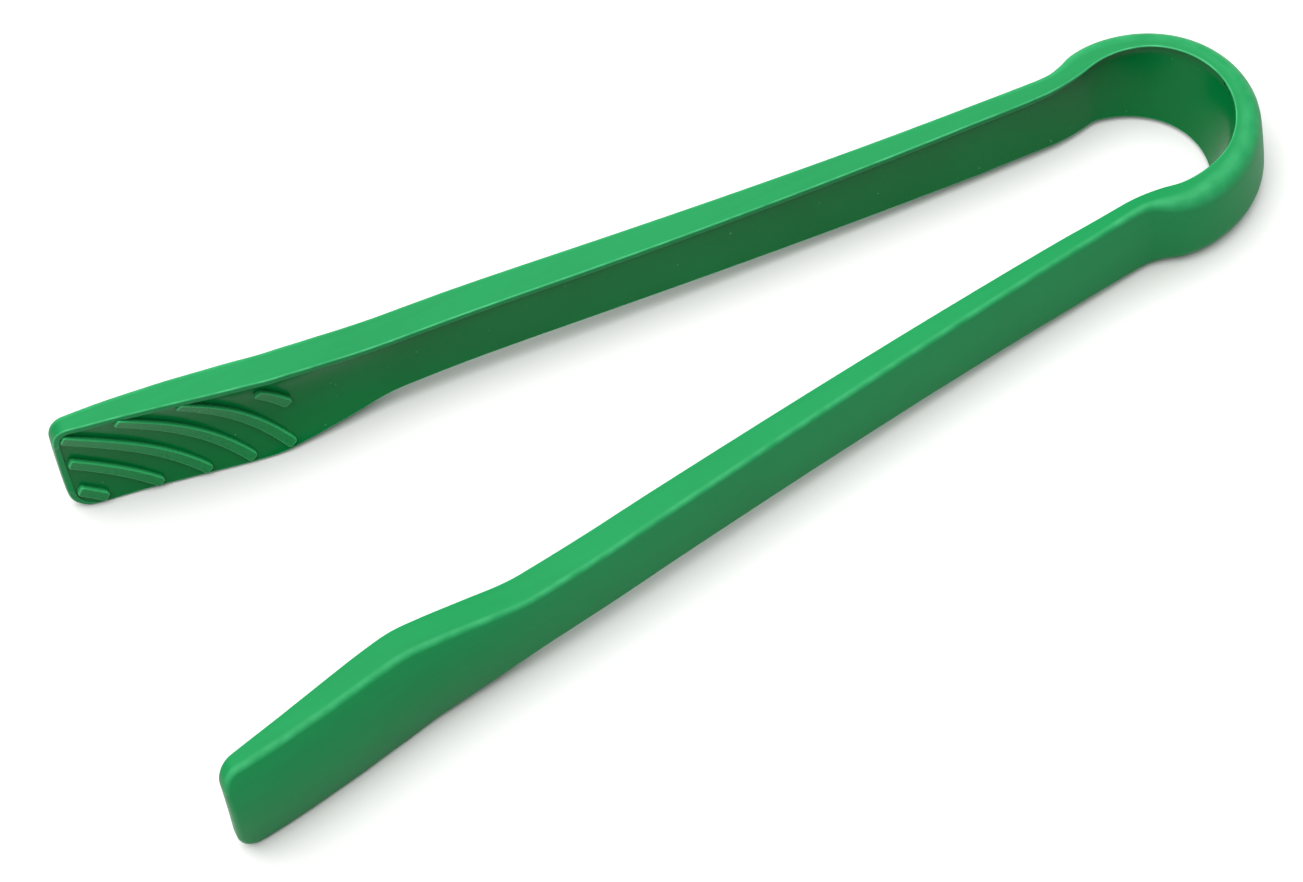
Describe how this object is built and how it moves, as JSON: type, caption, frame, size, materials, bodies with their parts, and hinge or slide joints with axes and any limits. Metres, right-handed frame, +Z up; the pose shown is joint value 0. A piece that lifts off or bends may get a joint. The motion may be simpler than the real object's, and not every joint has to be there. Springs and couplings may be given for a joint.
{
  "type": "spring tongs",
  "caption": "One-piece kitchen tongs: a U-shaped spring bow, two long arms and two wide scooped jaws with curved grip ribs, lying on their edges.",
  "frame": {"origin": "bottom centre of the bounding box, on the surface that the tongs lie on", "axes": "+X towards the spring bow, +Y towards the left arm, +Z up; the joint axes lean 1.1 degrees because the jaws are taller than the bow"},
  "size_m": [0.2428, 0.0994, 0.026],
  "materials": {
    "skin": "satin green soft skin, fine even moulded grain",
    "core": "polished deeper green hard plastic",
    "rib": "polished green hard plastic, slightly translucent edges"
  },
  "bodies": {
    "bow": {"bow_core": "core", "bow_skin": "skin"},
    "left_arm": {"left_arm_core": "core", "left_arm_skin": "skin", "left_jaw_core": "core", "left_jaw_skin": "skin", "left_grip_rib_1": "rib", "left_grip_rib_2": "rib", "left_grip_rib_3": "rib", "left_grip_rib_4": "rib", "left_grip_rib_5": "rib", "left_grip_rib_6": "rib"},
    "right_arm": {"right_arm_core": "core", "right_arm_skin": "skin", "right_jaw_core": "core", "right_jaw_skin": "skin", "right_grip_rib_1": "rib", "right_grip_rib_2": "rib", "right_grip_rib_3": "rib", "right_grip_rib_4": "rib", "right_grip_rib_5": "rib", "right_grip_rib_6": "rib"}
  },
  "joints": [
    {"name": "left_arm_flex", "type": "hinge", "parent": "bow", "child": "left_arm", "pos_m": [0.09464, 0.01845, 0.00999], "axis": [0.0199, 0, 0.9998], "range_deg": [0, 10.7], "stiffness_Nm_per_rad": 3.7, "deforming": ["bow_core", "bow_skin"]},
    {"name": "right_arm_flex", "type": "hinge", "parent": "bow", "child": "right_arm", "pos_m": [0.09464, -0.01845, 0.00999], "axis": [0.0199, 0, 0.9998], "range_deg": [-10.7, 0], "stiffness_Nm_per_rad": 3.7, "deforming": ["bow_core", "bow_skin"]}
  ],
  "couplings": [
    {"joint": "right_arm_flex", "follows": "left_arm_flex", "ratio": -1}
  ]
}
